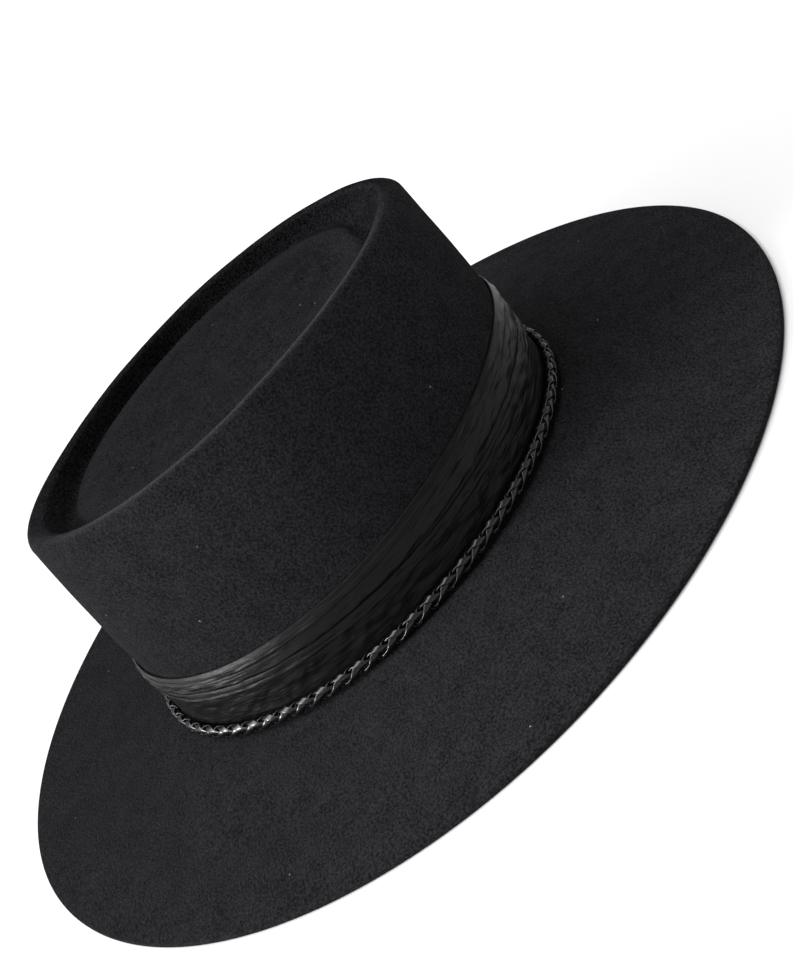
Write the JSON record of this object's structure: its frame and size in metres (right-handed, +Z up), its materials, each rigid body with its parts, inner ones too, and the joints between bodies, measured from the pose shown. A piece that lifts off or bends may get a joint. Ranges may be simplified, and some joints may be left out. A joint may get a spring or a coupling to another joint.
{
  "type": "wide-brim hat",
  "caption": "Black felt hat with a wide, nearly flat brim, a flat-sided crown with a sunken top, a pleated cloth band and a braided leather cord.",
  "frame": {"origin": "on the surface that the hat lies on, under the middle of the brim", "axes": "+Z up through the crown, +Y to the back of the hat, +X to the wearer's left"},
  "size_m": [0.3508, 0.3838, 0.1074],
  "materials": {
    "felt": "napped black fur felt, matt",
    "band_cloth": "pleated black cloth with a soft sheen",
    "cord_leather": "black leather lace, glossy"
  },
  "bodies": {
    "root": {"felt_body": "felt", "pleated_band": "band_cloth", "braided_cord": "cord_leather"}
  },
  "joints": []
}
